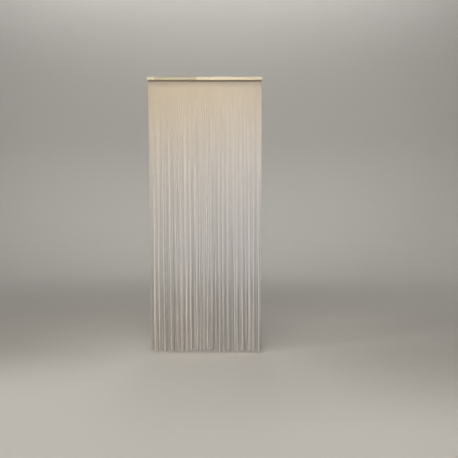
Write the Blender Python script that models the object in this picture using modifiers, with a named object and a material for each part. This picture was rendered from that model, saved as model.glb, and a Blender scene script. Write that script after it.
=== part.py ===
"""String door curtain: two rows of twisted cords hung from the underside of a wooden lath.

Metres, +Z up. The lath runs along X and its front faces -Y. The origin is the centre of the
lath's back face, where it is fastened over a doorway.
"""

import math
import random

import bmesh
import bpy

# Lath
LATH_LENGTH = 0.895
LATH_HEIGHT = 0.025
LATH_DEPTH = 0.030
LATH_EDGE_RADIUS = 0.0015
LATH_EDGE_STEPS = 3
LATH_TOP_Z = LATH_HEIGHT / 2
LATH_UNDERSIDE_Z = -LATH_HEIGHT / 2

# Cords, as flat as two plies laid side by side are wide
CORD_WIDTH = 0.0066
CORD_SIDES_STEP = 0  # a bevel of no extra steps gives four sides
CORDS_IN_ROW = 54
ROW_SPACING = 0.0082
BACK_ROW_Y = -0.0070
END_MARGIN = 0.011  # from the lath's end to the outermost cord's middle
CORD_SPAN = LATH_LENGTH - 2 * END_MARGIN
CORD_PITCH = CORD_SPAN / (CORDS_IN_ROW - 0.5)  # the two rows stand half a pitch apart

# Drop of the cords, from the lath's top edge to their cut ends
MEAN_DROP = 2.113
CUT_SCATTER = 0.011

# How the cords wander on their way down, as shares and lengths at their ends
TOUCHING_GAP = 0.0009
LEFT_DRAW_IN = 0.027
RIGHT_DRAW_IN = 0.002
BUNCH_SIZES = (1, 1, 2, 2, 2, 3)
BUNCHED_SHARE = (0.04, 0.30)  # of an even gap, between the cords of one bunch
BEND_SHARE = 0.10
LEAN_SHARE = 0.18
LEAN_WAVES = 3.0
LEVELS = 9

# Each row: its depth, its shift along the lath, how far its ends swing out, and its seed
ROWS = (
    {"name": "back", "y": BACK_ROW_Y, "shift": CORD_PITCH / 2, "swing": 0.0015, "seed": 123},
    {"name": "front", "y": BACK_ROW_Y - ROW_SPACING, "shift": 0.0, "swing": -0.0045, "seed": 14},
)

# Heading strip that holds the cords' tops, set in a groove under the lath
CLEARANCE = 0.0003
STRIP_HEIGHT = 0.018
STRIP_SHOWS = 0.010  # below the lath
STRIP_BORDER = 0.0003
STRIP_LENGTH = CORD_SPAN + CORD_WIDTH + 2 * STRIP_BORDER
STRIP_DEPTH = ROW_SPACING + CORD_WIDTH + 2 * STRIP_BORDER
STRIP_Y = BACK_ROW_Y - ROW_SPACING / 2
STRIP_UNDERSIDE_Z = LATH_UNDERSIDE_Z - STRIP_SHOWS
STRIP_TOP_Z = STRIP_UNDERSIDE_Z + STRIP_HEIGHT
ROOT_SINK = 0.003
CORD_DROP = MEAN_DROP - LATH_TOP_Z + STRIP_UNDERSIDE_Z

# Finishes: base colour, roughness
FINISHES = {
    "lath_wood": ((0.79, 0.69, 0.50, 1.0), 0.55),
    "cord_cotton": ((0.56, 0.50, 0.41, 1.0), 0.95),
}


def clear_scene():
    for obj in list(bpy.data.objects):
        bpy.data.objects.remove(obj, do_unlink=True)


def new_collection(name):
    collection = bpy.data.collections.new(name)
    bpy.context.scene.collection.children.link(collection)
    return collection


def finish(name):
    colour, roughness = FINISHES[name]
    material = bpy.data.materials.new(name)
    material.use_nodes = True
    shader = material.node_tree.nodes["Principled BSDF"]
    shader.inputs["Base Color"].default_value = colour
    shader.inputs["Roughness"].default_value = roughness
    shader.inputs["Metallic"].default_value = 0.0
    material.diffuse_color = colour
    return material


def add_box(name, collection, size, centre):
    shape = bmesh.new()
    bmesh.ops.create_cube(shape, size=1.0)
    bmesh.ops.scale(shape, vec=size, verts=shape.verts)
    mesh = bpy.data.meshes.new(name)
    shape.to_mesh(mesh)
    shape.free()
    box = bpy.data.objects.new(name, mesh)
    box.location = centre
    collection.objects.link(box)
    return box


def mark_as_helper(obj):
    obj.hide_render = True
    obj.display_type = "WIRE"


def bunch_weights(draw):
    """How wide each gap of a row has become at the cords' ends, next to an even gap.

    A bunch keeps its place: what its own gaps lose, the gap after it gains.
    """
    weights = []
    while len(weights) < CORDS_IN_ROW - 1:
        inner = [draw.uniform(*BUNCHED_SHARE) for _ in range(draw.choice(BUNCH_SIZES) - 1)]
        weights += inner
        weights.append(len(inner) + 1 - sum(inner))
    return weights[: CORDS_IN_ROW - 1]


def row_plan(row):
    """The row's random choices: its gaps, how they bend, its leaning, cut ends and swing."""
    draw = random.Random(row["seed"])
    gaps = CORDS_IN_ROW - 1
    return {
        "weights": bunch_weights(draw),
        "bend_turns": [draw.uniform(0.4, 1.4) for _ in range(gaps)],
        "bend_phase": [draw.uniform(0, math.tau) for _ in range(gaps)],
        "lean_phase": draw.uniform(0, math.tau),
        "cuts": [draw.uniform(-CUT_SCATTER, CUT_SCATTER) for _ in range(CORDS_IN_ROW)],
        "swing": [draw.uniform(0.15, 1.0) for _ in range(CORDS_IN_ROW)],
    }


def cord_places(row, plan, down):
    """Where the row's cords stand along X, at this share of the way down.

    The gaps start even and drift towards the plan's weights. Each keeps the touching gap, so
    the cords of a row never cross.
    """
    left = -CORD_SPAN / 2 + row["shift"] + LEFT_DRAW_IN * down
    right = left + (CORDS_IN_ROW - 1) * CORD_PITCH - (LEFT_DRAW_IN + RIGHT_DRAW_IN) * down
    shares = []
    for gap, weight in enumerate(plan["weights"]):
        along = gap / len(plan["weights"])
        lean = LEAN_SHARE * math.sin(math.tau * LEAN_WAVES * along + plan["lean_phase"])
        turns = math.tau * plan["bend_turns"][gap] * down + plan["bend_phase"][gap]
        bend = 1 + BEND_SHARE * math.sin(turns) * down
        shares.append((1 + (weight - 1) * down) * (1 + lean * down) * bend)
    least = CORD_WIDTH + TOUCHING_GAP
    spare = (right - left - least * len(shares)) / sum(shares)
    places = [left]
    for share in shares:
        places.append(places[-1] + least + spare * share)
    return places


def cord_routes():
    """Each cord's points, from inside the heading strip to its cut end."""
    routes = []
    for row in ROWS:
        plan = row_plan(row)
        levels = [level / (LEVELS - 1) for level in range(LEVELS)]
        at_levels = [cord_places(row, plan, down) for down in levels]
        for cord in range(CORDS_IN_ROW):
            points = [(at_levels[0][cord], row["y"], STRIP_UNDERSIDE_Z + ROOT_SINK)]
            for down, places in zip(levels, at_levels):
                cut = plan["cuts"][cord] if down == 1 else 0.0
                y = row["y"] + row["swing"] * plan["swing"][cord] * down
                points.append((places[cord], y, STRIP_UNDERSIDE_Z - CORD_DROP * down - cut))
            routes.append(points)
    return routes


def cord_tubes(name, collection):
    """All cords as one mesh of four-sided tubes with closed ends."""
    curve = bpy.data.curves.new(name, "CURVE")
    curve.dimensions = "3D"
    curve.bevel_depth = CORD_WIDTH / 2
    curve.bevel_resolution = CORD_SIDES_STEP
    curve.use_fill_caps = True
    for route in cord_routes():
        spline = curve.splines.new("POLY")
        spline.points.add(len(route) - 1)
        for point, place in zip(spline.points, route):
            point.co = (*place, 1.0)
    guide = bpy.data.objects.new(name + "_guide", curve)
    collection.objects.link(guide)
    bpy.context.view_layer.update()
    graph = bpy.context.evaluated_depsgraph_get()
    mesh = bpy.data.meshes.new_from_object(guide.evaluated_get(graph))
    tubes = bpy.data.objects.new(name, mesh)
    tubes.matrix_world = guide.matrix_world
    collection.objects.link(tubes)
    bpy.data.objects.remove(guide, do_unlink=True)
    weld_caps(mesh)
    return tubes


def weld_caps(mesh):
    shape = bmesh.new()
    shape.from_mesh(mesh)
    bmesh.ops.remove_doubles(shape, verts=shape.verts, dist=CLEARANCE / 10)
    bmesh.ops.recalc_face_normals(shape, faces=shape.faces)
    shape.to_mesh(mesh)
    shape.free()


def boolean(obj, other, operation):
    modifier = obj.modifiers.new(operation.lower() + " " + other.name, "BOOLEAN")
    modifier.operation = operation
    modifier.solver = "EXACT"
    modifier.object = other


def make_lath(parts, helpers):
    """The lath, with rounded edges and a groove along its underside."""
    size = (LATH_LENGTH, LATH_DEPTH, LATH_HEIGHT)
    lath = add_box("lath", parts, size, (0, -LATH_DEPTH / 2, 0))
    edges = lath.modifiers.new("rounded edges", "BEVEL")
    edges.width = LATH_EDGE_RADIUS
    edges.segments = LATH_EDGE_STEPS
    groove_top = STRIP_TOP_Z + CLEARANCE
    groove_foot = LATH_UNDERSIDE_Z - LATH_EDGE_RADIUS
    groove_size = (
        STRIP_LENGTH + 2 * CLEARANCE,
        STRIP_DEPTH + 2 * CLEARANCE,
        groove_top - groove_foot,
    )
    centre = (0, STRIP_Y, (groove_top + groove_foot) / 2)
    groove = add_box("lath_groove", helpers, groove_size, centre)
    mark_as_helper(groove)
    boolean(lath, groove, "DIFFERENCE")
    lath.data.materials.append(finish("lath_wood"))
    return lath


def make_strands(parts, helpers):
    """The cords, joined at their tops by the heading strip."""
    strands = cord_tubes("strands", parts)
    size = (STRIP_LENGTH, STRIP_DEPTH, STRIP_HEIGHT)
    centre = (0, STRIP_Y, STRIP_UNDERSIDE_Z + STRIP_HEIGHT / 2)
    strip = add_box("heading_strip", helpers, size, centre)
    mark_as_helper(strip)
    boolean(strands, strip, "UNION")
    strands.data.materials.append(finish("cord_cotton"))
    return strands


def main():
    clear_scene()
    parts = new_collection("string_door_curtain")
    helpers = new_collection("cutters")
    make_lath(parts, helpers)
    make_strands(parts, helpers)


main()
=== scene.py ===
"""Dresses the string door curtain: twisted cotton cords under a pale wooden lath, in a studio.

Laid out as a Blender add-on and run as a script. Metres, +Z up; the lath's front faces -Y.
"""

import math
import random

import bmesh
import bpy
import numpy as np
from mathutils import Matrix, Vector


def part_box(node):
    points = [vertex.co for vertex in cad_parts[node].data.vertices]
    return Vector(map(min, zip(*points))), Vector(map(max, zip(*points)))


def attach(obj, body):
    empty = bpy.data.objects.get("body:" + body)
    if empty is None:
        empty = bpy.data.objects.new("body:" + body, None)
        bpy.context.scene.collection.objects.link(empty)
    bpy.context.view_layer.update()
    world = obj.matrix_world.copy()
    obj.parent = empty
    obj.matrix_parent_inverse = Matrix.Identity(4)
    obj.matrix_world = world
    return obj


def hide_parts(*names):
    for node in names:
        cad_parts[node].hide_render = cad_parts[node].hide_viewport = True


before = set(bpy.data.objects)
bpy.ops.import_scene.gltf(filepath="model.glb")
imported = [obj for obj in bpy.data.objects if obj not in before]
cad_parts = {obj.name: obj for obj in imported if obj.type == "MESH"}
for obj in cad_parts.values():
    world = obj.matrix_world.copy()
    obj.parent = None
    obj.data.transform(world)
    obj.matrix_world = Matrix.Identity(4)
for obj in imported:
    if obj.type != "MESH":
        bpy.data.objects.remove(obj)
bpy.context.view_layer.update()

bl_info = {
    "name": "String Door Curtain",
    "version": (1, 0, 0),
    "blender": (4, 5, 0),
    "location": "View3D > Sidebar > Curtain",
    "description": "Makes a string door curtain's cords, heading strip and lath finish",
    "category": "Object",
}

BODY = "root"
LATH_LOW, LATH_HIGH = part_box("lath")
STRANDS_LOW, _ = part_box("strands")

# Cords, with the same sizes and the same random choices as the solids that they replace
CORD_WIDTH = 0.0066
CORDS_IN_ROW = 54
ROW_SPACING = 0.0082
BACK_ROW_Y = -0.0070
END_MARGIN = 0.011
CORD_SPAN = (LATH_HIGH.x - LATH_LOW.x) - 2 * END_MARGIN
CORD_PITCH = CORD_SPAN / (CORDS_IN_ROW - 0.5)
MEAN_DROP = 2.113
CUT_SCATTER = 0.011
TOUCHING_GAP = 0.0009
LEFT_DRAW_IN = 0.027
RIGHT_DRAW_IN = 0.002
BUNCH_SIZES = (1, 1, 2, 2, 2, 3)
BUNCHED_SHARE = (0.04, 0.30)
BEND_SHARE = 0.10
LEAN_SHARE = 0.18
LEAN_WAVES = 3.0
ROWS = (
    {"name": "back", "y": BACK_ROW_Y, "shift": CORD_PITCH / 2, "swing": 0.0015, "seed": 123},
    {"name": "front", "y": BACK_ROW_Y - ROW_SPACING, "shift": 0.0, "swing": -0.0045, "seed": 14},
)
ROW_PARTS = ("left", "middle", "right")
STRIP_HEIGHT = 0.018
# The strip is a guessed heading tape; the 10 mm that show below the lath, in the tape's dark
# colour, are painted shadow for the shade under the lath's overhang.
STRIP_SHOWS = 0.010
STRIP_BORDER = 0.0003
STRIP_DEPTH = ROW_SPACING + CORD_WIDTH + 2 * STRIP_BORDER
STRIP_LENGTH = CORD_SPAN + CORD_WIDTH + 2 * STRIP_BORDER
STRIP_Y = BACK_ROW_Y - ROW_SPACING / 2
STRIP_UNDERSIDE_Z = LATH_LOW.z - STRIP_SHOWS
ROOT_SINK = 0.003
CORD_DROP = MEAN_DROP - LATH_HIGH.z + STRIP_UNDERSIDE_Z

# A cord's section, in cord widths: two round plies and the groove on each side of them
PLY_RADIUS = 0.38
PLY_OFFSET = 0.12
PLY_ANGLES = (-75.0, 0.0, 75.0)
GROOVE_HALF = 0.27

# A cord's twist: how its lay varies, its slack in radians, and its slubs and girth in cord widths
LOOSENESS = (0.90, 1.10)
SLACK = 0.7
SLACK_LENGTH = (0.3, 0.6)
SLUB_HEIGHT = 0.035
SLUB_LENGTH = (0.05, 0.09)
GIRTH = 0.985
GIRTH_VARIES = (-0.03, 0.015)
CUT_GIRTH = 0.86

# Each cord's own waves and those that neighbours share: lengths in metres from crest to crest,
# and heights as shares of the waver or the sway. They fade in over these drops under the strip.
SLOW_WAVE = (0.45, 0.90)
QUICK_WAVE = (0.08, 0.15)
SLOW_HEIGHT = 0.6
QUICK_HEIGHT = 0.4
OWN_FADE_IN = 0.5
WAVER_SHARE = 0.35  # of the room beside a cord
DEPTH_WAVER = 0.0006
SHARED_WAVES = (
    {"height": 0.5, "down": 0.95, "across": 0.33},
    {"height": 0.3, "down": 0.55, "across": 0.19},
    {"height": 0.2, "down": 0.31, "across": 0.13},
)
SHARED_FADE_IN = 0.6

# How pale and dull cords take turns: 0.5 is plain, and each turns at its own share of the drop
DULL_RUNS = (1, 1, 1, 2)
DULL_TONE = (0.0, 0.5)
PALE_TONE = (0.7, 1.3)
TURNS_FROM = (0.04, 0.40)
TURNS_OVER = 0.015

# Seeds of the random choices; the first two are added to a row's own seed
WAVES_SEED = 100
TONES_SEED = 1387
SWAY_SEED = 7

# Columns of the map that a long tube is folded into
CORD_FOLDS = 2
STRIP_FOLDS = 4

# A cord's column of the map: how much of its width is used, the frays' part and the cord's
COLUMN_FILL = 0.96
FRAYS_FOOT, FRAYS_TALL = 0.002, 0.024
CORD_FOOT, CORD_TALL = 0.03, 0.965

# The frayed fibres at each cut end
FRAY_FIBRES = 14
FRAY_RINGS = 4
FRAY_ROOT = (0.04, 0.30)  # from the cord's middle, in cord widths
FRAY_SINK = 0.001
FRAY_LENGTH = (0.0025, 0.0080)
FRAY_SPREAD = 0.0022
FRAY_CURL = 1.6
FRAY_RADIUS = 0.00022
FRAY_TAPER = 0.6

# The heading strip's ribs, its weave and its rows of stitches on each face
RIB_DEPTH = 0.0005
RIB_STEPS = 6
STRIP_CORNER = 0.0012
STRIP_CORNER_STEPS = 3
WARP_PITCH = 0.0016
WEFT_PITCH = 0.0012
STITCH_LENGTH = 0.0031
STITCH_PITCH = 0.0046
STITCH_MARGIN = 0.003
STITCH_RADIUS = 0.00032
STITCH_HEIGHTS = (0.0022, 0.0076)
STITCH_ARCH = 0.00044
STITCH_SINK = 0.00026

# The lath's darker stretch: where it fades in and out along the front, up it and over its edge
DARK_STRETCH_LEFT = (-0.396, -0.386)
DARK_STRETCH_RIGHT = (-0.070, -0.064)
DARK_STRETCH_UP = (-0.004, 0.006)
DARK_STRETCH_BACK = (-0.029, -0.016)

# Soft lamps on the curtain from the front and back, on the floor and round the wall: each one's
# place, target, width and height, watts, colour and spread in degrees
WARM = (1.0, 0.91, 0.78)
PLAIN = (1.0, 0.99, 0.97)
LAMPS = {
    "key": ((-0.3, -2.8, 3.0), (0, 0, -0.3), (2.2, 1.6), 104.0, WARM, 180),
    "upper": ((-0.3, -3.4, 1.0), (0, 0, -0.2), (1.0, 0.6), 9.8, WARM, 55),
    "left": ((-5.5, -4.8, -1.3), (0, 0, -1.75), (0.9, 0.9), 10.0, PLAIN, 29),
    "back": ((0.0, 4.5, 0.3), (0, 0, -0.7), (1.6, 0.8), 8.0, PLAIN, 38),
    "floor": ((0.0, -3.2, 1.5), (0, -3, -2), (6.0, 1.5), 8.5, PLAIN, 64),
    "bend": ((0.0, 5.5, 2.6), (0, 9.3, -0.8), (8.0, 0.8), 8.0, PLAIN, 60),
    "wall_back": ((0, 8, 5.2), (0, 10, 2.6), (9.0, 0.6), 160.0, PLAIN, 180),
    "wall_left": ((-8, 0, 5.2), (-10, 0, 2.6), (9.0, 0.6), 135.0, PLAIN, 180),
    "wall_right": ((8, 0, 5.2), (10, 0, 2.6), (9.0, 0.6), 135.0, PLAIN, 180),
    "wall_front": ((0, -8, 5.2), (0, -10, 2.6), (9.0, 0.6), 135.0, PLAIN, 180),
}

# The studio's bowl: its flat floor's radius, the bend up to its wall, and the wall's height
BOWL_FLAT = 7.5
BOWL_BEND = 2.5
BOWL_WALL = 6.5
BOWL_BEND_STEPS = 12
BOWL_SIDES = 96

# The photo's frame: pixels on a side, the curtain's middle in it, and its width in metres
PHOTO_SIDE = 458
CURTAIN_MIDDLE = (204.9, 214.1)
FRAME_WIDTH = 3.54
LENS = 70.0
SENSOR = 36.0


def linear(colour):
    """A picked colour as the shader's linear values."""
    return [c / 12.92 if c <= 0.04045 else ((c + 0.055) / 1.055) ** 2.4 for c in colour[:3]]


class CordSettings(bpy.types.PropertyGroup):
    lay: bpy.props.FloatProperty(
        name="Lay",
        description="Length of one full turn of the two plies",
        default=0.038,
        subtype="DISTANCE",
        unit="LENGTH",
    )
    rings: bpy.props.IntProperty(
        name="Rings",
        description="Sections along each cord",
        default=520,
        min=60,
        max=540,
    )
    sway: bpy.props.FloatProperty(
        name="Sway",
        description="Height of the slow waves that neighbouring cords share",
        default=0.0012,
        min=0.0,
        max=0.004,
        subtype="DISTANCE",
        unit="LENGTH",
    )
    waver: bpy.props.FloatProperty(
        name="Waver",
        description="Height of each cord's own small waves, where there is room for them",
        default=0.0006,
        min=0.0,
        max=0.002,
        subtype="DISTANCE",
        unit="LENGTH",
    )
    # The four cotton colours run from warm and light under the lath to grey and dark at the ends:
    # painted light falloff down the curtain, with painted warm light at the top.
    top_colour: bpy.props.FloatVectorProperty(
        name="Colour under the lath",
        description="Cotton that has stayed clean and warm",
        default=(0.868, 0.812, 0.712),
        subtype="COLOR_GAMMA",
    )
    upper_colour: bpy.props.FloatVectorProperty(
        name="Colour above half height",
        description="Cotton that has faded to a paler, cooler tone",
        default=(0.872, 0.853, 0.832),
        subtype="COLOR_GAMMA",
    )
    middle_colour: bpy.props.FloatVectorProperty(
        name="Colour below half height",
        description="Cotton that has turned a neutral grey-beige",
        default=(0.792, 0.785, 0.785),
        subtype="COLOR_GAMMA",
    )
    foot_colour: bpy.props.FloatVectorProperty(
        name="Colour at the ends",
        description="Cotton that has greyed with use",
        default=(0.716, 0.687, 0.656),
        subtype="COLOR_GAMMA",
    )
    # Darker than the cords: partly the tape's own colour, partly painted shadow for the band
    # under the lath.
    tape_colour: bpy.props.FloatVectorProperty(
        name="Heading tape",
        description="Woven tape of the heading strip",
        default=(0.600, 0.545, 0.480),
        subtype="COLOR_GAMMA",
    )


class LathSettings(bpy.types.PropertyGroup):
    pale_colour: bpy.props.FloatVectorProperty(
        name="Pale wood",
        description="Early wood between the grain lines",
        default=(0.730, 0.713, 0.649),
        subtype="COLOR_GAMMA",
    )
    grain_colour: bpy.props.FloatVectorProperty(
        name="Grain",
        description="Late wood in the grain lines",
        default=(0.686, 0.656, 0.572),
        subtype="COLOR_GAMMA",
    )


class StageSettings(bpy.types.PropertyGroup):
    floor_gap: bpy.props.FloatProperty(
        name="Clear of the floor",
        description="Height of the longest cord's end above the floor",
        default=0.016,
        subtype="DISTANCE",
        unit="LENGTH",
    )
    floor_colour: bpy.props.FloatVectorProperty(
        name="Floor",
        description="Plain pale floor and backdrop",
        default=(0.83, 0.825, 0.815),
        subtype="COLOR_GAMMA",
    )


class Signal:
    """A socket of a material; arithmetic on it adds the Math nodes."""

    def __init__(self, finish, socket):
        self.finish = finish
        self.socket = socket

    def math(self, operation, *values):
        sockets = {place: value for place, value in enumerate(values)}
        return self.finish.node("ShaderNodeMath", {"operation": operation}, sockets)

    def __add__(self, other):
        return self.math("ADD", self, other)

    def __radd__(self, other):
        return self.math("ADD", other, self)

    def __sub__(self, other):
        return self.math("SUBTRACT", self, other)

    def __rsub__(self, other):
        return self.math("SUBTRACT", other, self)

    def __mul__(self, other):
        return self.math("MULTIPLY", self, other)

    def __rmul__(self, other):
        return self.math("MULTIPLY", other, self)

    def __truediv__(self, other):
        return self.math("DIVIDE", self, other)

    def sine(self):
        return self.math("SINE", self)

    def step(self, low, high):
        """0 below low, 1 above high, with a smooth slope between."""
        settings = {"interpolation_type": "SMOOTHSTEP"}
        sockets = {"Value": self, "From Min": low, "From Max": high}
        return self.finish.node("ShaderNodeMapRange", settings, sockets)


class Finish:
    """A material under construction."""

    def __init__(self, name):
        self.material = bpy.data.materials.new(name)
        self.material.use_nodes = True
        self.tree = self.material.node_tree
        self.shader = self.tree.nodes["Principled BSDF"]

    def node(self, kind, settings=None, sockets=None, output=0):
        """Adds a node: its settings first, then the values or links of its sockets."""
        made = self.tree.nodes.new(kind)
        for name, value in (settings or {}).items():
            if name == "stops":
                self.set_stops(made.color_ramp, value)
            else:
                setattr(made, name, value)
        for name, value in (sockets or {}).items():
            self.feed(made.inputs[name], value)
        return Signal(self, made.outputs[output])

    def feed(self, socket, value):
        if isinstance(value, Signal):
            self.tree.links.new(value.socket, socket)
        else:
            socket.default_value = value

    def set_stops(self, ramp, stops):
        while len(ramp.elements) < len(stops):
            ramp.elements.new(0.5)
        for element, (place, colour) in zip(ramp.elements, stops):
            element.position = place
            element.color = (*colour, 1.0)

    def mix(self, share, first, second, blend="MIX"):
        """A colour between two colours; a colour is a Signal or a linear triple."""
        settings = {"data_type": "RGBA", "blend_type": blend}
        first, second = (
            c if isinstance(c, Signal) else (*c[:3], 1.0) for c in (first, second)
        )
        return self.node("ShaderNodeMix", settings, {0: share, 6: first, 7: second}, 2)

    def place(self):
        """The point in the object's own space, as a vector and as its X, Y and Z."""
        vector = self.node("ShaderNodeTexCoord", output="Object")
        parts = [
            self.node("ShaderNodeSeparateXYZ", None, {"Vector": vector}, axis) for axis in "XYZ"
        ]
        return vector, *parts

    def stretched(self, vector, scale):
        """The vector scaled by axis, to draw a texture out along one direction."""
        return self.node("ShaderNodeMapping", None, {"Vector": vector, "Scale": scale})

    def noise(self, vector, scale, detail, roughness):
        sockets = {"Vector": vector, "Scale": scale, "Detail": detail, "Roughness": roughness}
        return self.node("ShaderNodeTexNoise", None, sockets, "Fac")

    def attribute(self, name, output="Fac"):
        return self.node("ShaderNodeAttribute", {"attribute_name": name}, None, output)

    def bump(self, height, strength, distance):
        sockets = {"Height": height, "Strength": strength, "Distance": distance}
        return self.node("ShaderNodeBump", None, sockets, "Normal")

    def surface(self, **sockets):
        for name, value in sockets.items():
            self.feed(self.shader.inputs[name.replace("_", " ")], value)
        return self.material


def cotton_finish(name, settings):
    """Twisted cotton with fibres along the twist; its colour paints light and shade: warm and
    light at the top, darker and greyer below, a shadow under the strip and shade in the ply
    grooves.
    """
    finish = Finish(name)
    vector, x, _, z = finish.place()
    down = (STRIP_UNDERSIDE_Z - z) / CORD_DROP
    fibre = finish.attribute("fibre", "Vector")
    tone = finish.attribute("tone")
    groove = finish.attribute("groove")
    strands = finish.noise(finish.stretched(fibre, (3.2, 3.2, 60.0)), 2.2, 4.0, 0.6)
    hairs = finish.noise(finish.stretched(fibre, (9.0, 9.0, 140.0)), 2.0, 3.0, 0.65)
    patches = finish.noise(vector, 9.0, 3.0, 0.55)
    # Painted light falloff: the ramp darkens and greys the cotton from the warm, light top to the
    # ends.
    stops = (
        (0.0, linear(settings.top_colour)),
        (0.30, linear(settings.upper_colour)),
        (0.62, linear(settings.middle_colour)),
        (1.0, linear(settings.foot_colour)),
    )
    base = finish.node("ShaderNodeValToRGB", {"stops": stops}, {"Fac": down}, "Color")
    worn = (tone - 0.5) * (down.step(0.07, 0.17) * 0.17 + down.step(0.33, 1.05) * 0.66)
    # The groove term is painted shade: the creases between the two plies are darkened in the
    # colour.
    value = 0.93 + worn + (strands - 0.5) * 0.26 + (patches - 0.5) * 0.08 - groove * 0.26
    # Painted shadow: the cords' colour is darkened to 0.58 just under the heading strip and
    # brightens over the next 60 mm or so, for the shade under the lath.
    value = value * (0.58 + down.step(-0.004, 0.028) * 0.42)
    grey = finish.node("ShaderNodeCombineColor", None, {0: value, 1: value, 2: value})
    shaded = finish.mix(1.0, base, grey, "MULTIPLY")
    # Painted light: the left side is warmer and darker and the right side cooler and brighter, as
    # if a cool light fell from the right.
    sides = finish.mix(x.step(-0.45, 0.45), (0.95, 0.94, 0.93), (1.01, 1.03, 1.09))
    shaded = finish.mix(1.0, shaded, sides, "MULTIPLY")
    greyed = finish.mix((1.0 - tone) * (down * 0.26), shaded, linear((0.675, 0.615, 0.560)))
    height = strands * 0.6 + hairs * 0.4 - groove * 0.8
    return finish.surface(
        Base_Color=greyed,
        Roughness=0.88 + (hairs - 0.5) * 0.12,
        Sheen_Weight=0.18,
        Sheen_Roughness=0.5,
        Specular_IOR_Level=0.2,
        Normal=finish.bump(height, 0.8, 0.0008),
    )


def tape_finish(name, settings):
    """The heading strip's plain woven cotton tape."""
    finish = Finish(name)
    vector, x, _, z = finish.place()
    warp = (x * (math.tau / WARP_PITCH)).sine()
    weft = (z * (math.tau / WEFT_PITCH)).sine()
    weave = warp * weft * 0.5 + 0.5
    patches = finish.noise(vector, 60.0, 3.0, 0.6)
    # The tape colour is dark as painted shadow under the lath; the weave darkens it further in a
    # pattern.
    pale = linear(settings.tape_colour)
    dark = [c * 0.66 for c in pale]
    colour = finish.mix(weave * 0.5 + patches * 0.5, dark, pale)
    return finish.surface(
        Base_Color=colour,
        Roughness=0.92,
        Specular_IOR_Level=0.2,
        Normal=finish.bump(weave, 0.4, 0.0003),
    )


def thread_finish(name, settings):
    """The heading strip's sewing thread, with its own fine twist."""
    finish = Finish(name)
    vector, *_ = finish.place()
    twist = finish.noise(finish.stretched(vector, (900.0, 1800.0, 1800.0)), 1.0, 2.0, 0.5)
    # The thread's colour follows the tape's, which is darkened as painted shadow.
    pale = [c * 1.25 for c in linear(settings.tape_colour)]
    return finish.surface(
        Base_Color=finish.mix(twist, [c * 0.7 for c in pale], pale),
        Roughness=0.7,
        Normal=finish.bump(twist, 0.4, 0.0002),
    )


def wood_finish(name, settings):
    """Planed pale wood: straight grain, pores, and a duller, darker stretch on the front."""
    finish = Finish(name)
    vector, x, y, z = finish.place()
    drift = finish.noise(finish.stretched(vector, (1.2, 14.0, 14.0)), 1.0, 2.0, 0.5)
    rings = finish.node(
        "ShaderNodeTexWave",
        {"wave_type": "BANDS", "bands_direction": "Z", "wave_profile": "SAW"},
        {
            "Vector": finish.stretched(vector, (1.6, 60.0, 95.0)),
            "Scale": 1.0,
            "Distortion": 2.0,
            "Detail": 2.0,
            "Detail Scale": 0.7,
        },
        "Fac",
    )
    pores = finish.noise(finish.stretched(vector, (40.0, 900.0, 900.0)), 1.0, 3.0, 0.6)
    grain = rings * 0.55 + drift * 0.45
    wood = finish.mix(grain, linear(settings.pale_colour), linear(settings.grain_colour))
    # A stretch of the front is made duller and darker, most in its upper part, fading out along
    # it and over its edge.
    stretch = x.step(*DARK_STRETCH_LEFT) * (1.0 - x.step(*DARK_STRETCH_RIGHT))
    front = 1.0 - y.step(*DARK_STRETCH_BACK)
    dull = stretch * (0.75 + z.step(*DARK_STRETCH_UP) * 0.25) * front
    darkened = finish.mix(dull, wood, (0.56, 0.55, 0.50), "MULTIPLY")
    flecked = finish.mix((pores - 0.55) * 0.35, darkened, linear((0.60, 0.50, 0.36)))
    height = pores * 0.5 + grain * 0.5
    return finish.surface(
        Base_Color=flecked,
        Roughness=0.50 + (pores - 0.5) * 0.18,
        Normal=finish.bump(height, 0.25, 0.0006),
        Coat_Weight=0.10,
        Coat_Roughness=0.35,
    )


def stage_finish(name, colour):
    """Matt plaster with faint clouds."""
    finish = Finish(name)
    vector, *_ = finish.place()
    cloud = finish.noise(vector, 0.7, 2.0, 0.5)
    pale = linear(colour)
    base = finish.mix(cloud * 0.06, pale, [c * 0.9 for c in pale])
    return finish.surface(Base_Color=base, Roughness=0.9, Specular_IOR_Level=0.1)


def bunch_weights(draw):
    """How wide each gap of a row has become at the cords' ends, next to an even gap."""
    weights = []
    while len(weights) < CORDS_IN_ROW - 1:
        inner = [draw.uniform(*BUNCHED_SHARE) for _ in range(draw.choice(BUNCH_SIZES) - 1)]
        weights += inner
        weights.append(len(inner) + 1 - sum(inner))
    return weights[: CORDS_IN_ROW - 1]


def row_plan(row):
    """The row's random choices, drawn in the same order as for the solids."""
    draw = random.Random(row["seed"])
    gaps = CORDS_IN_ROW - 1
    return {
        "weights": bunch_weights(draw),
        "bend_turns": [draw.uniform(0.4, 1.4) for _ in range(gaps)],
        "bend_phase": [draw.uniform(0, math.tau) for _ in range(gaps)],
        "lean_phase": draw.uniform(0, math.tau),
        "cuts": [draw.uniform(-CUT_SCATTER, CUT_SCATTER) for _ in range(CORDS_IN_ROW)],
        "swing": [draw.uniform(0.15, 1.0) for _ in range(CORDS_IN_ROW)],
    }


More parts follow.
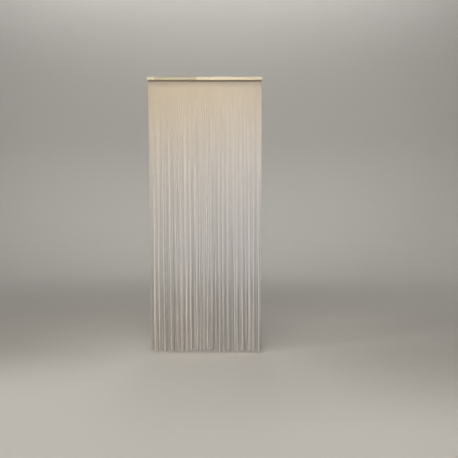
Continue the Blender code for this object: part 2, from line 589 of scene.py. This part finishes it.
def cord_places(row, plan, down):
    """Where the row's cords stand along X: a line for each share of the way down."""
    down = down[:, None]
    left = -CORD_SPAN / 2 + row["shift"] + LEFT_DRAW_IN * down
    right = left + (CORDS_IN_ROW - 1) * CORD_PITCH - (LEFT_DRAW_IN + RIGHT_DRAW_IN) * down
    weights = np.array(plan["weights"])
    along = np.arange(len(weights)) / len(weights)
    lean = LEAN_SHARE * np.sin(math.tau * LEAN_WAVES * along + plan["lean_phase"])
    turns = math.tau * np.array(plan["bend_turns"]) * down + np.array(plan["bend_phase"])
    bend = 1 + BEND_SHARE * np.sin(turns) * down
    shares = (1 + (weights - 1) * down) * (1 + lean * down) * bend
    least = CORD_WIDTH + TOUCHING_GAP
    spare = (right - left - least * len(weights)) / shares.sum(axis=1, keepdims=True)
    return np.hstack([left, left + np.cumsum(least + spare * shares, axis=1)])


def own_waves(draw, along, count):
    """Slow and quick waves for each cord, from -1 to 1, which fade in under the lath."""
    waves = []
    for _ in range(count):
        slow = math.tau * along / draw.uniform(*SLOW_WAVE) + draw.uniform(0, math.tau)
        quick = math.tau * along / draw.uniform(*QUICK_WAVE) + draw.uniform(0, math.tau)
        waves.append(SLOW_HEIGHT * np.sin(slow) + QUICK_HEIGHT * np.sin(quick))
    return np.array(waves).T * np.clip(along / OWN_FADE_IN, 0, 1)[:, None]


def shared_waves(draw, along, places):
    """Waves that vary slowly along the lath too, so that neighbours sway together."""
    waves = np.zeros_like(places)
    for wave in SHARED_WAVES:
        down = math.tau * along[:, None] / wave["down"] + draw.uniform(0, math.tau)
        waves += wave["height"] * np.sin(down + math.tau * places / wave["across"])
    return waves * np.clip(along / SHARED_FADE_IN, 0, 1)[:, None]


def cord_paths(row, settings):
    """The row's cords as arrays of points, from inside the heading strip to the cut ends."""
    plan = row_plan(row)
    draw = random.Random(row["seed"] + WAVES_SEED)
    down = np.linspace(0, 1, settings.rings)
    along = down * CORD_DROP
    places = cord_places(row, plan, down)
    gaps = np.diff(places, axis=1) - CORD_WIDTH
    edge = np.full((len(down), 1), CORD_PITCH - CORD_WIDTH)
    room = np.minimum(np.hstack([edge, gaps]), np.hstack([gaps, edge]))
    own = np.minimum(settings.waver, WAVER_SHARE * room) * own_waves(draw, along, CORDS_IN_ROW)
    sideways = own + settings.sway * shared_waves(random.Random(SWAY_SEED), along, places)
    depth = DEPTH_WAVER * own_waves(draw, along, CORDS_IN_ROW)
    swing = row["swing"] * np.array(plan["swing"])
    x = places + sideways
    y = row["y"] + swing * down[:, None] + depth
    z = STRIP_UNDERSIDE_Z - along[:, None] * (1 + np.array(plan["cuts"]) / CORD_DROP)
    paths = np.stack([x, y, z], axis=2).transpose(1, 0, 2)
    roots = paths[:, :1] + np.array([0, 0, ROOT_SINK])
    return np.concatenate([roots, paths], axis=1)


class Tubes:
    """One mesh of many closed tubes, each with its own cell of the map."""

    def __init__(self):
        self.points = []
        self.quads = []
        self.corners = []
        self.values = {"fibre": [], "tone": [], "groove": []}
        self.count = 0

    def add(self, points, cells, fibre=None, tone=0.5, groove=0.0, folds=1):
        """Adds tubes: points are tubes x rings x sides x 3.

        A cell is the left, foot, width and height of a tube's place on the map.
        """
        tubes, rings, sides, _ = points.shape
        quads = tube_quads(rings, sides)
        offsets = self.count + np.arange(tubes)[:, None, None] * rings * sides
        cells = np.asarray(cells)[:, None, None, :]
        corners = tube_map(rings, sides, folds)[None] * cells[..., 2:] + cells[..., :2]
        self.points.append(points.reshape(-1, 3))
        self.quads.append((quads[None] + offsets).reshape(-1, 4))
        self.corners.append(corners.reshape(-1, 2))
        shape = (tubes, rings, sides)
        around = points * 1000 if fibre is None else fibre
        self.values["fibre"].append(np.broadcast_to(around, (*shape, 3)).reshape(-1))
        self.values["tone"].append(np.broadcast_to(tone, shape).reshape(-1))
        self.values["groove"].append(np.broadcast_to(groove, shape).reshape(-1))
        self.count += tubes * rings * sides

    def mesh(self, name):
        mesh = bpy.data.meshes.new(name)
        mesh.from_pydata(np.concatenate(self.points), [], np.concatenate(self.quads))
        for key, kind, field in (
            ("fibre", "FLOAT_VECTOR", "vector"),
            ("tone", "FLOAT", "value"),
            ("groove", "FLOAT", "value"),
        ):
            values = np.concatenate(self.values[key]).astype(np.float32)
            mesh.attributes.new(key, kind, "POINT").data.foreach_set(field, values)
        layer = mesh.uv_layers.new(name="OFBake")
        corners = np.concatenate(self.corners).astype(np.float32)
        layer.uv.foreach_set("vector", corners.ravel())
        mesh.shade_smooth()
        mesh.set_sharp_from_angle(angle=math.radians(80))
        return mesh


def tube_quads(rings, sides):
    """Quads of one tube: its wall, then its first and last end."""
    ring = np.arange(rings - 1)[:, None] * sides
    side = np.arange(sides)[None, :]
    after = (side + 1) % sides
    wall = np.stack([ring + side, ring + sides + side, ring + sides + after, ring + after], 2)
    first = np.array([(k, k + 1, sides - 2 - k, sides - 1 - k) for k in range(sides // 2 - 1)])
    last = first[:, ::-1] + (rings - 1) * sides
    return np.concatenate([wall.reshape(-1, 4), first, last])


def tube_map(rings, sides, folds):
    """Corners of a tube's quads in a cell from 0 to 1: the ends lie under the wall.

    A long wall is folded into columns side by side, so that the map is as fine along as across.
    """
    ring, side, corner = np.meshgrid(range(rings - 1), range(sides), range(4), indexing="ij")
    steps = math.ceil((rings - 1) / folds)
    column, step = np.divmod(ring, steps)
    across = 0.05 + 0.9 * (side + np.array([0, 0, 1, 1])[corner]) / sides
    u = (column + across) / folds
    v = 1 - 0.95 * (step + np.array([0, 1, 1, 0])[corner]) / steps
    wall = np.stack([u, v], -1).reshape(-1, 4, 2)
    ends = tube_quads(2, sides)[sides:] % sides
    turn = math.tau * ends / sides
    middle = np.repeat([0.3, 0.7], len(ends) // 2)[:, None]
    flat = np.stack([middle + 0.15 * np.cos(turn), 0.022 + 0.018 * np.sin(turn)], -1)
    return np.concatenate([wall, flat])


def cord_section():
    """Points of one section in cord widths, and how deep in the groove each one is."""
    points = []
    for side in (1, -1):
        for angle in PLY_ANGLES:
            turn = math.radians(angle)
            x = PLY_OFFSET + PLY_RADIUS * math.cos(turn)
            points.append((side * x, side * PLY_RADIUS * math.sin(turn)))
        points.append((0.0, side * GROOVE_HALF))
    groove = [0.0, 0.0, 0.0, 1.0] * 2
    return np.array(points), np.array(groove)


def twisted_cord(path, settings, draw):
    """Rings of one cord around its path, with the fibre directions that its finish reads."""
    section, _ = cord_section()
    steps = np.linalg.norm(np.diff(path, axis=0), axis=1)
    along = np.concatenate([[0.0], np.cumsum(steps)])
    lay = settings.lay * draw.uniform(*LOOSENESS)
    slack_wave = math.tau * along / draw.uniform(*SLACK_LENGTH) + draw.uniform(0, math.tau)
    turn = math.tau * along / lay + SLACK * np.sin(slack_wave) + draw.uniform(0, math.tau)
    slub_wave = math.tau * along / draw.uniform(*SLUB_LENGTH) + draw.uniform(0, 6)
    girth = CORD_WIDTH * (GIRTH + SLUB_HEIGHT * np.sin(slub_wave) + draw.uniform(*GIRTH_VARIES))
    girth[-1] *= CUT_GIRTH
    c, s = np.cos(turn)[:, None], np.sin(turn)[:, None]
    x = (section[:, 0] * c - section[:, 1] * s) * girth[:, None]
    y = (section[:, 0] * s + section[:, 1] * c) * girth[:, None]
    rings = path[:, None, :] + np.stack([x, y, np.zeros_like(x)], 2)
    angle = math.tau * np.arange(len(section)) / len(section)
    fibre = np.empty_like(rings)
    fibre[..., 0] = np.cos(angle)
    fibre[..., 1] = np.sin(angle)
    fibre[..., 2] = along[:, None] + draw.uniform(0, 50)
    return rings, fibre


def frayed_end(end, draw):
    """Thin fibres that stand out of a cord's cut end, each in a few rings of four points."""
    fibres = []
    for _ in range(FRAY_FIBRES):
        turn = draw.uniform(0, math.tau)
        out = Vector((math.cos(turn), math.sin(turn), 0))
        start = Vector(end) + out * CORD_WIDTH * draw.uniform(*FRAY_ROOT)
        length = draw.uniform(*FRAY_LENGTH)
        spread = draw.uniform(0.1, 1.0) * FRAY_SPREAD
        rings = []
        for ring in range(FRAY_RINGS):
            share = ring / (FRAY_RINGS - 1)
            fall = Vector((0, 0, length * share - FRAY_SINK))
            middle = start + out * spread * share**FRAY_CURL - fall
            radius = FRAY_RADIUS * (1 - FRAY_TAPER * share)
            rings.append(
                [
                    middle + Vector((math.cos(a), math.sin(a), 0)) * radius
                    for a in (0, math.pi / 2, math.pi, -math.pi / 2)
                ]
            )
        fibres.append(rings)
    return np.array(fibres)


def cord_tones(cords, down, draw):
    """How pale each cord is along its way down: after each pale one come one or two dull ones."""
    tones = []
    dull_ones = draw.choice(DULL_RUNS)
    for _ in range(cords):
        level = draw.uniform(*(DULL_TONE if dull_ones else PALE_TONE))
        dull_ones = dull_ones - 1 if dull_ones else draw.choice(DULL_RUNS)
        start = draw.uniform(*TURNS_FROM)
        tones.append(0.5 + (level - 0.5) * np.clip((down - start) / TURNS_OVER, 0, 1))
    return tones


def cords_mesh(name, paths, settings, draw):
    """Several twisted cords; each has a column of the map, with its frayed end at the foot."""
    _, groove = cord_section()
    shape = Tubes()
    column = 1 / len(paths)
    down = np.linspace(0, 1, len(paths[0]))
    tones = cord_tones(len(paths), down, draw)
    for place, (path, tone) in enumerate(zip(paths, tones)):
        rings, fibre = twisted_cord(path, settings, draw)
        left = place * column
        cell = (left, CORD_FOOT, column * COLUMN_FILL, CORD_TALL)
        shape.add(rings[None], [cell], fibre, tone[:, None], groove, CORD_FOLDS)
        width = column * COLUMN_FILL / FRAY_FIBRES
        cells = [
            (left + width * fray, FRAYS_FOOT, width * 0.9, FRAYS_TALL)
            for fray in range(FRAY_FIBRES)
        ]
        shape.add(frayed_end(path[-1], draw), cells, tone=tone[-1])
    return shape.mesh(name)


def strip_face(x, row):
    """Y of the heading strip's face on this row's side: it dips between the row's cords."""
    side = -1 if row["name"] == "front" else 1
    dip = (1 - np.cos(math.tau * (x + CORD_SPAN / 2 - row["shift"]) / CORD_PITCH)) / 2
    return STRIP_Y + side * (STRIP_DEPTH / 2 - RIB_DEPTH * dip)


def strip_outline():
    """Section of the strip across Z and Y, with rounded corners, as shares of its half depth."""
    outline = []
    for quarter, (side_z, side_y) in enumerate(((1, 1), (-1, 1), (-1, -1), (1, -1))):
        for step in range(STRIP_CORNER_STEPS + 1):
            turn = math.radians(90 * (quarter + step / STRIP_CORNER_STEPS))
            z = side_z * (STRIP_HEIGHT / 2 - STRIP_CORNER) + STRIP_CORNER * math.cos(turn)
            y = side_y * (STRIP_DEPTH / 2 - STRIP_CORNER) + STRIP_CORNER * math.sin(turn)
            outline.append((y / (STRIP_DEPTH / 2), z))
    return np.array(outline)


def strip_mesh(name):
    """The heading strip: a woven tape drawn in between the cords that it wraps."""
    back, front = ROWS
    outline = strip_outline()
    x = np.linspace(-STRIP_LENGTH / 2, STRIP_LENGTH / 2, CORDS_IN_ROW * RIB_STEPS + 1)
    middle_z = STRIP_UNDERSIDE_Z + STRIP_HEIGHT / 2
    rings = np.empty((len(x), len(outline), 3))
    rings[..., 0] = x[:, None]
    to_back = (strip_face(x, back) - STRIP_Y)[:, None] * np.maximum(outline[:, 0], 0)
    to_front = (strip_face(x, front) - STRIP_Y)[:, None] * np.maximum(-outline[:, 0], 0)
    rings[..., 1] = STRIP_Y + to_back + to_front
    rings[..., 2] = middle_z + outline[:, 1]
    shape = Tubes()
    shape.add(rings[None], [(0, 0, 1, 1)], folds=STRIP_FOLDS)
    return shape.mesh(name)


def stitches_mesh(name):
    """Rows of single stitches along the strip's two faces."""
    count = int((STRIP_LENGTH - 2 * STITCH_MARGIN) / STITCH_PITCH)
    starts = (np.arange(count) - (count - 1) / 2) * STITCH_PITCH
    share = np.linspace(-1, 1, 5)
    x = starts[:, None] + share * STITCH_LENGTH / 2
    arch = STITCH_ARCH * (1 - share**2) - STITCH_SINK
    radius = STITCH_RADIUS * np.sqrt(1 - 0.8 * share**2)
    turn = np.arange(4) * math.tau / 4
    shape = Tubes()
    lanes = len(ROWS) * len(STITCH_HEIGHTS)
    lane = 0
    for row in ROWS:
        side = -1 if row["name"] == "front" else 1
        for height in STITCH_HEIGHTS:
            points = np.empty((count, len(share), len(turn), 3))
            points[..., 0] = x[..., None]
            out = strip_face(x, row) + side * arch
            points[..., 1] = out[..., None] + radius[:, None] * np.sin(turn)
            points[..., 2] = STRIP_UNDERSIDE_Z + height + radius[:, None] * np.cos(turn)
            cells = [
                (stitch / count, lane / lanes, 0.9 / count, 0.9 / lanes)
                for stitch in range(count)
            ]
            shape.add(points, cells)
            lane += 1
    return shape.mesh(name)


def add_piece(name, mesh, material):
    piece = bpy.data.objects.new(name, mesh)
    bpy.context.scene.collection.objects.link(piece)
    mesh.materials.append(material)
    return piece


def bowl_mesh(name, floor_z):
    """A round floor that turns up into a wall all the way round."""
    profile = [(0.0, 0.0), (BOWL_FLAT / 2, 0.0), (BOWL_FLAT, 0.0)]
    for step in range(1, BOWL_BEND_STEPS + 1):
        turn = math.radians(90 * step / BOWL_BEND_STEPS)
        radius = BOWL_FLAT + BOWL_BEND * math.sin(turn)
        profile.append((radius, BOWL_BEND * (1 - math.cos(turn))))
    profile.append((BOWL_FLAT + BOWL_BEND, BOWL_BEND + BOWL_WALL))
    shape = bmesh.new()
    points = [shape.verts.new((r, 0, floor_z + z)) for r, z in profile]
    edges = [shape.edges.new(pair) for pair in zip(points, points[1:])]
    bmesh.ops.spin(
        shape,
        geom=points + edges,
        cent=(0, 0, 0),
        axis=(0, 0, 1),
        angle=math.tau,
        steps=BOWL_SIDES,
        use_merge=True,
    )
    bmesh.ops.remove_doubles(shape, verts=shape.verts, dist=1e-5)
    bmesh.ops.recalc_face_normals(shape, faces=shape.faces)
    mesh = bpy.data.meshes.new(name)
    shape.to_mesh(mesh)
    shape.free()
    mesh.shade_smooth()
    return mesh


def aim(obj, target):
    obj.rotation_mode = "QUATERNION"
    obj.rotation_quaternion = (Vector(target) - obj.location).to_track_quat("-Z", "Y")


def add_area_light(name, place, target, size, power, colour, spread):
    """A softbox; a spread under 180 degrees is a grid that keeps its light off the rest."""
    light = bpy.data.lights.new(name, "AREA")
    light.spread = math.radians(spread)
    light.shape = "RECTANGLE"
    light.size, light.size_y = size
    light.energy = power
    light.color = colour
    lamp = bpy.data.objects.new(name, light)
    lamp.location = place
    lamp.visible_camera = False
    bpy.context.scene.collection.objects.link(lamp)
    aim(lamp, target)


class CURTAIN_OT_lath(bpy.types.Operator):
    """Finish the lath as planed pale wood"""

    bl_idname = "curtain.lath"
    bl_label = "Lath"

    def execute(self, context):
        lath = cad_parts["lath"]
        lath.data.materials.clear()
        lath.data.materials.append(wood_finish("lath_wood", context.scene.curtain_lath))
        return {"FINISHED"}


class CURTAIN_OT_strip(bpy.types.Operator):
    """Make the woven heading strip that holds the cords' tops in the lath's groove"""

    bl_idname = "curtain.strip"
    bl_label = "Heading strip"

    def execute(self, context):
        settings = context.scene.curtain_cords
        tape = tape_finish("heading_tape", settings)
        thread = thread_finish("heading_thread", settings)
        for piece in (
            add_piece("heading_strip", strip_mesh("heading_strip"), tape),
            add_piece("heading_stitches", stitches_mesh("heading_stitches"), thread),
        ):
            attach(piece, BODY)
            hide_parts("strands")
        return {"FINISHED"}


class CURTAIN_OT_cords(bpy.types.Operator):
    """Make the two rows of twisted cotton cords"""

    bl_idname = "curtain.cords"
    bl_label = "Cords"

    def execute(self, context):
        settings = context.scene.curtain_cords
        cotton = cotton_finish("cord_cotton", settings)
        for row in ROWS:
            paths = cord_paths(row, settings)
            draw = random.Random(row["seed"] + TONES_SEED)
            for part, some in zip(ROW_PARTS, np.array_split(paths, len(ROW_PARTS))):
                name = f"cords_{row['name']}_{part}"
                piece = add_piece(name, cords_mesh(name, some, settings, draw), cotton)
                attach(piece, BODY)
                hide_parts("strands")
        return {"FINISHED"}


class CURTAIN_OT_studio(bpy.types.Operator):
    """Make the plain pale floor, the soft lights and the camera"""

    bl_idname = "curtain.studio"
    bl_label = "Studio"

    def execute(self, context):
        settings = context.scene.curtain_stage
        floor_z = STRANDS_LOW.z - settings.floor_gap
        plaster = stage_finish("stage_plaster", settings.floor_colour)
        floor = add_piece("studio_floor", bowl_mesh("studio_floor", floor_z), plaster)
        for name, lamp in LAMPS.items():
            add_area_light(name, *lamp)
        self.world(context.scene)
        self.camera(context.scene)
        context.scene.view_settings.view_transform = "Standard"
        return {"FINISHED"}

    def world(self, scene):
        world = bpy.data.worlds.new("studio")
        world.use_nodes = True
        world.node_tree.nodes["Background"].inputs["Color"].default_value = (0.95, 0.97, 1, 1)
        world.node_tree.nodes["Background"].inputs["Strength"].default_value = 0.06
        scene.world = world

    def camera(self, scene):
        """Straight from the front; the shift puts the curtain where the photo has it."""
        data = bpy.data.cameras.new("camera")
        data.lens = LENS
        data.sensor_width = SENSOR
        data.shift_x = (PHOTO_SIDE / 2 - CURTAIN_MIDDLE[0]) / PHOTO_SIDE
        data.shift_y = -(PHOTO_SIDE / 2 - CURTAIN_MIDDLE[1]) / PHOTO_SIDE
        camera = bpy.data.objects.new("camera", data)
        middle_z = (LATH_HIGH.z + STRANDS_LOW.z) / 2
        camera.location = (0, LATH_LOW.y - FRAME_WIDTH * LENS / SENSOR, middle_z)
        camera.rotation_euler = (math.radians(90), 0, 0)
        scene.collection.objects.link(camera)
        scene.camera = camera


class CURTAIN_PT_panel(bpy.types.Panel):
    bl_label = "String Door Curtain"
    bl_space_type = "VIEW_3D"
    bl_region_type = "UI"
    bl_category = "Curtain"

    def draw(self, context):
        for title, name, operators in (
            ("Lath", "curtain_lath", ["curtain.lath"]),
            ("Cords", "curtain_cords", ["curtain.strip", "curtain.cords"]),
            ("Studio", "curtain_stage", ["curtain.studio"]),
        ):
            box = self.layout.box()
            box.label(text=title)
            group = getattr(context.scene, name)
            for prop in group.bl_rna.properties:
                if prop.identifier not in ("rna_type", "name"):
                    box.prop(group, prop.identifier)
            for operator in operators:
                box.operator(operator)


SETTINGS = {
    "curtain_cords": CordSettings,
    "curtain_lath": LathSettings,
    "curtain_stage": StageSettings,
}
OPERATORS = (CURTAIN_OT_lath, CURTAIN_OT_strip, CURTAIN_OT_cords, CURTAIN_OT_studio)


def register():
    for kind in (*SETTINGS.values(), *OPERATORS, CURTAIN_PT_panel):
        bpy.utils.register_class(kind)
    for name, kind in SETTINGS.items():
        setattr(bpy.types.Scene, name, bpy.props.PointerProperty(type=kind))


def unregister():
    for name in SETTINGS:
        delattr(bpy.types.Scene, name)
    for kind in reversed((*SETTINGS.values(), *OPERATORS, CURTAIN_PT_panel)):
        bpy.utils.unregister_class(kind)


def main():
    register()
    bpy.ops.curtain.lath()
    bpy.ops.curtain.strip()
    bpy.ops.curtain.cords()
    bpy.ops.curtain.studio()


if __name__ == "__main__":
    main()
